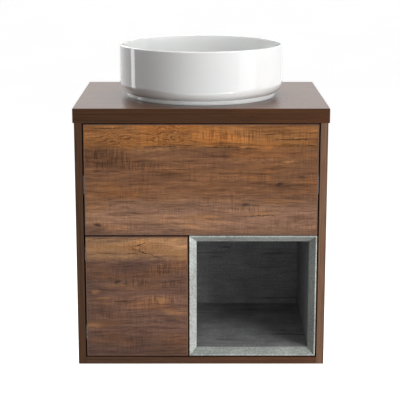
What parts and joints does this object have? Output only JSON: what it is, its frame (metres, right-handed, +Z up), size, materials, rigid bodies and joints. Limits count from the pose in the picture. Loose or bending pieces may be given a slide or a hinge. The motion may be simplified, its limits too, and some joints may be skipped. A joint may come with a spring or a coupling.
{
  "type": "vessel sink on vanity",
  "caption": "Round vessel basin on a wall-hung wooden vanity with a wide drawer, a small hinged door and an open cubby.",
  "frame": {"origin": "under the middle of the whole unit, level with the cabinet's underside", "axes": "+X to the right seen from the front, +Y from the front to the wall, +Z up"},
  "size_m": [0.606, 0.46, 0.765],
  "materials": {
    "front_veneer": "matt rustic oak, horizontal figure",
    "worktop_board": "satin dark oak laminate",
    "carcass_board": "matt dark oak laminate",
    "back_board": "thin fibreboard",
    "concrete_board": "matt concrete-look laminate",
    "drawer_board": "light grey melamine",
    "white_ceramic": "gloss glaze",
    "chrome": "polished chrome plate",
    "black_rubber": "moulded",
    "zinc_steel": "zinc plated",
    "screw_steel": "bright zinc",
    "nickel_steel": "nickel plated",
    "grey_plastic": "fine moulded texture",
    "pale_plastic": "moulded",
    "beech": "fluted, unfinished"
  },
  "bodies": {
    "cabinet": {"worktop": "worktop_board", "side_panel_left": "carcass_board", "side_panel_right": "carcass_board", "bottom_panel": "carcass_board", "front_rail": "carcass_board", "rear_rail": "carcass_board", "mid_panel": "carcass_board", "divider": "carcass_board", "hanging_rail": "carcass_board", "back_panel": "back_board", "cubby_left": "concrete_board", "cubby_right": "concrete_board", "cubby_top": "concrete_board", "cubby_bottom": "concrete_board", "cubby_back": "concrete_board", "basin": "white_ceramic", "waste_body": "chrome", "waste_lock_nut": "chrome", "trap_inlet_pipe": "chrome", "trap_inlet_nut": "chrome", "trap_body": "chrome", "trap_cup": "chrome", "trap_outlet_nut": "chrome", "trap_outlet_pipe": "chrome", "waste_upper_seal": "black_rubber", "waste_lower_seal": "black_rubber", "runner_cabinet_left": "zinc_steel", "runner_cabinet_right": "zinc_steel", "cam_locks": "zinc_steel", "cam_bolts": "zinc_steel", "carcass_screws": "screw_steel", "cabinet_fitting_screws": "screw_steel", "latch_springs": "screw_steel", "hinge_arms": "nickel_steel", "hinge_plates": "nickel_steel", "drawer_latch_housing": "grey_plastic", "door_latch_housing": "grey_plastic", "carcass_dowels": "beech"},
    "drawer": {"drawer_front": "front_veneer", "drawer_side_left": "drawer_board", "drawer_side_right": "drawer_board", "drawer_base": "drawer_board", "drawer_back_left": "drawer_board", "drawer_back_right": "drawer_board", "drawer_notch_left": "drawer_board", "drawer_notch_right": "drawer_board", "drawer_notch_front": "drawer_board", "drawer_brackets": "zinc_steel", "drawer_screws": "screw_steel", "runner_drawer_left": "zinc_steel", "runner_drawer_right": "zinc_steel"},
    "runner_middle": {"runner_middle_left": "zinc_steel", "runner_middle_right": "zinc_steel"},
    "door": {"door_panel": "front_veneer", "hinge_cups": "nickel_steel", "hinge_pins": "nickel_steel", "hinge_cup_screws": "screw_steel"},
    "plug": {"waste_plug": "chrome"},
    "drawer_plunger": {"drawer_latch_plunger": "pale_plastic"},
    "door_plunger": {"door_latch_plunger": "pale_plastic"}
  },
  "joints": [
    {"name": "drawer_slide", "type": "slide", "parent": "cabinet", "child": "drawer", "axis": [0, -1, 0], "range_m": [0, 0.38]},
    {"name": "runner_middle_slide", "type": "slide", "parent": "cabinet", "child": "runner_middle", "axis": [0, -1, 0], "range_m": [0, 0.19]},
    {"name": "door_hinge", "type": "hinge", "parent": "cabinet", "child": "door", "pos_m": [-0.2585, -0.215, 0.17225], "axis": [0, 0, -1], "range_deg": [0, 92]},
    {"name": "waste_plug_lift", "type": "slide", "parent": "cabinet", "child": "plug", "axis": [0, 0, 1], "range_m": [0, 0.008]},
    {"name": "drawer_latch_press", "type": "slide", "parent": "cabinet", "child": "drawer_plunger", "axis": [0, 1, 0], "range_m": [0, 0.003], "stiffness_N_per_m": 400, "springref_m": -0.005},
    {"name": "door_latch_press", "type": "slide", "parent": "cabinet", "child": "door_plunger", "axis": [0, 1, 0], "range_m": [0, 0.003], "stiffness_N_per_m": 400, "springref_m": -0.005}
  ],
  "couplings": [
    {"joint": "runner_middle_slide", "follows": "drawer_slide", "ratio": 0.5}
  ]
}
